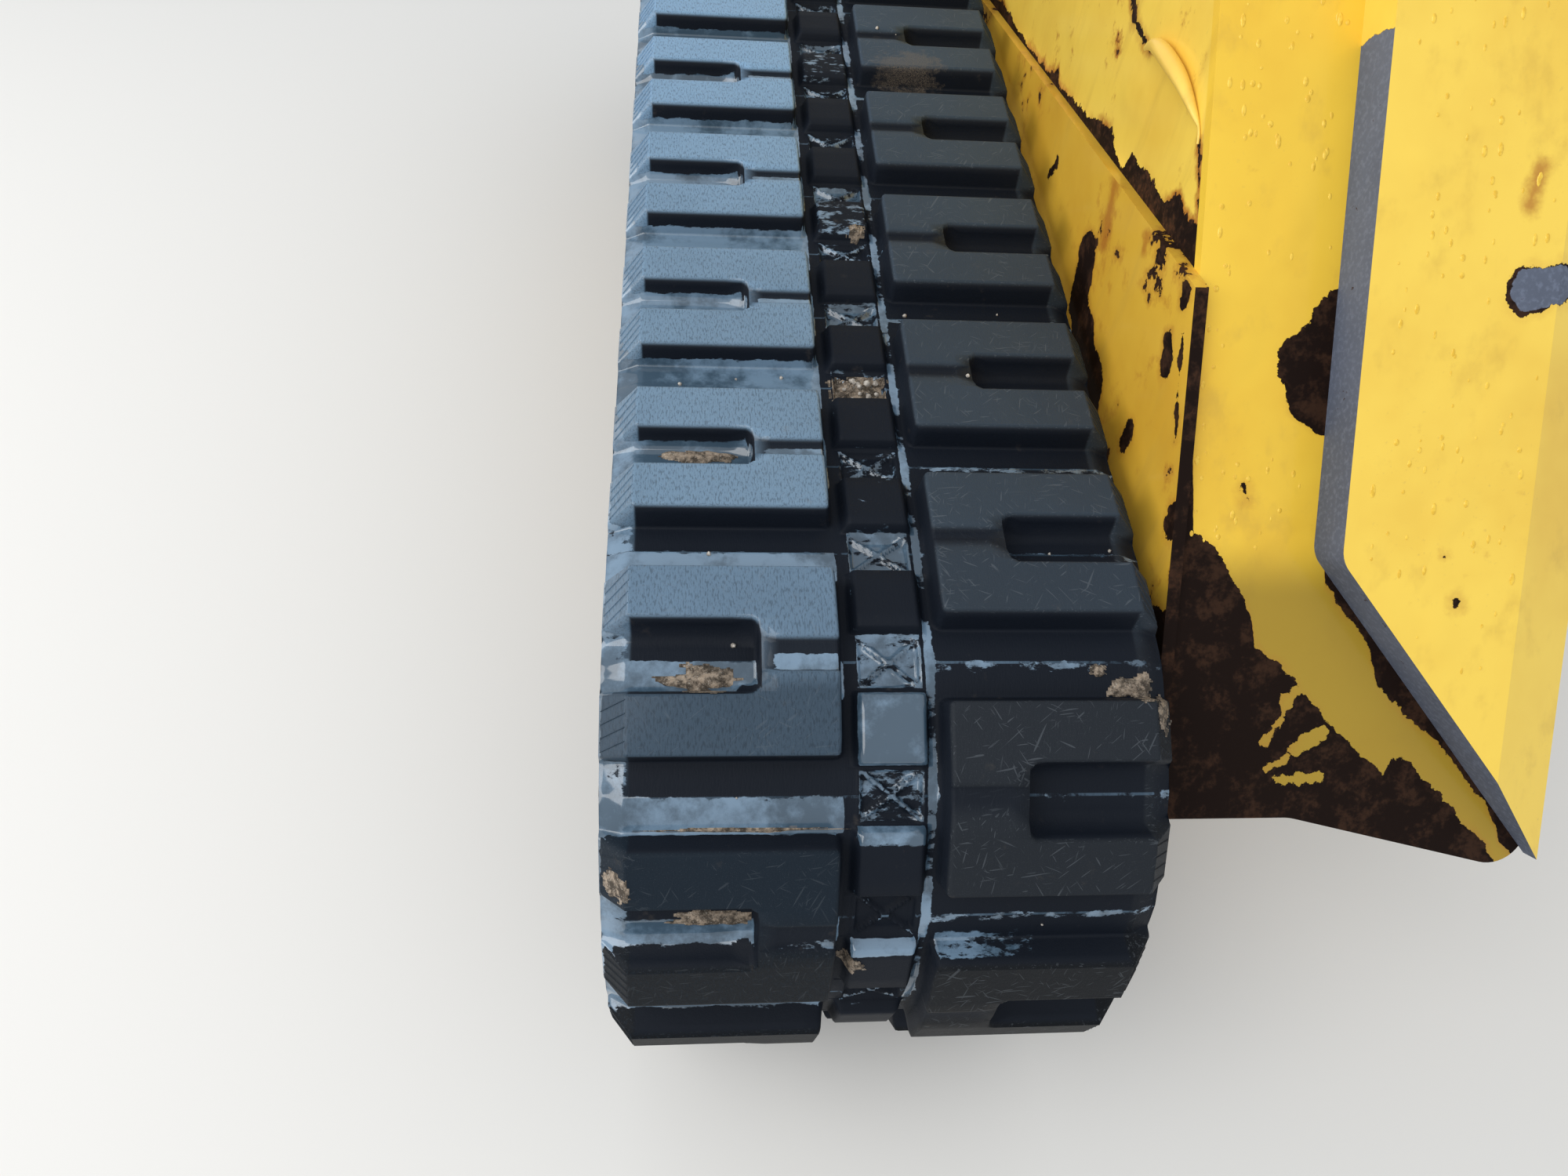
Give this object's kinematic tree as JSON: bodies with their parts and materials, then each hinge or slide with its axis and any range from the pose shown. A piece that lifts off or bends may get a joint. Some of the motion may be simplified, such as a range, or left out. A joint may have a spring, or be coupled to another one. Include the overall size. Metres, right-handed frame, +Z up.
{
  "type": "rubber track undercarriage",
  "caption": "Rubber track undercarriage of a compact loader: lugged belt round idler, rollers and drive sprocket on a steel track frame with side plates.",
  "frame": {"origin": "on the ground, under the middle of the bounding box", "axes": "+Z up, +Y towards the rear drive sprocket along the track, +X inboard towards the machine, along the wheel axles"},
  "size_m": [0.73, 1.9808, 0.8705],
  "materials": {
    "track_rubber": "wet satin",
    "yellow_paint": "flaked gloss",
    "dark_paint": "worn satin",
    "worn_steel": "worn",
    "cast_metal": "rough",
    "lid_paint": "worn satin"
  },
  "bodies": {
    "undercarriage": {"carrier_bracket": "yellow_paint", "carrier_roller": "cast_metal", "carrier_shaft": "worn_steel", "drive_hub": "dark_paint", "drive_motor": "dark_paint", "drive_sprocket": "cast_metal", "front_cross_tube": "yellow_paint", "front_idler": "cast_metal", "front_wall": "yellow_paint", "hub_cover": "yellow_paint", "idler_axle": "worn_steel", "idler_yoke": "dark_paint", "lid_bolt": "worn_steel", "mounting_pad": "yellow_paint", "nose_plate": "yellow_paint", "rear_cross_tube": "yellow_paint", "roller_shaft_1": "worn_steel", "roller_shaft_2": "worn_steel", "roller_shaft_3": "worn_steel", "roller_shaft_4": "worn_steel", "roller_shaft_5": "worn_steel", "rubber_belt": "track_rubber", "side_plate_lower": "yellow_paint", "side_plate_upper": "yellow_paint", "tension_cylinder": "dark_paint", "tension_rod": "worn_steel", "track_frame": "yellow_paint", "track_roller_1": "cast_metal", "track_roller_2": "cast_metal", "track_roller_3": "cast_metal", "track_roller_4": "cast_metal", "track_roller_5": "cast_metal"},
    "lid": {"access_lid": "lid_paint"}
  },
  "joints": [
    {"name": "lid_swing", "type": "hinge", "parent": "undercarriage", "child": "lid", "pos_m": [-0.2905, -0.33598, 0.242], "axis": [1, 0, 0], "range_deg": [0, 100]}
  ]
}
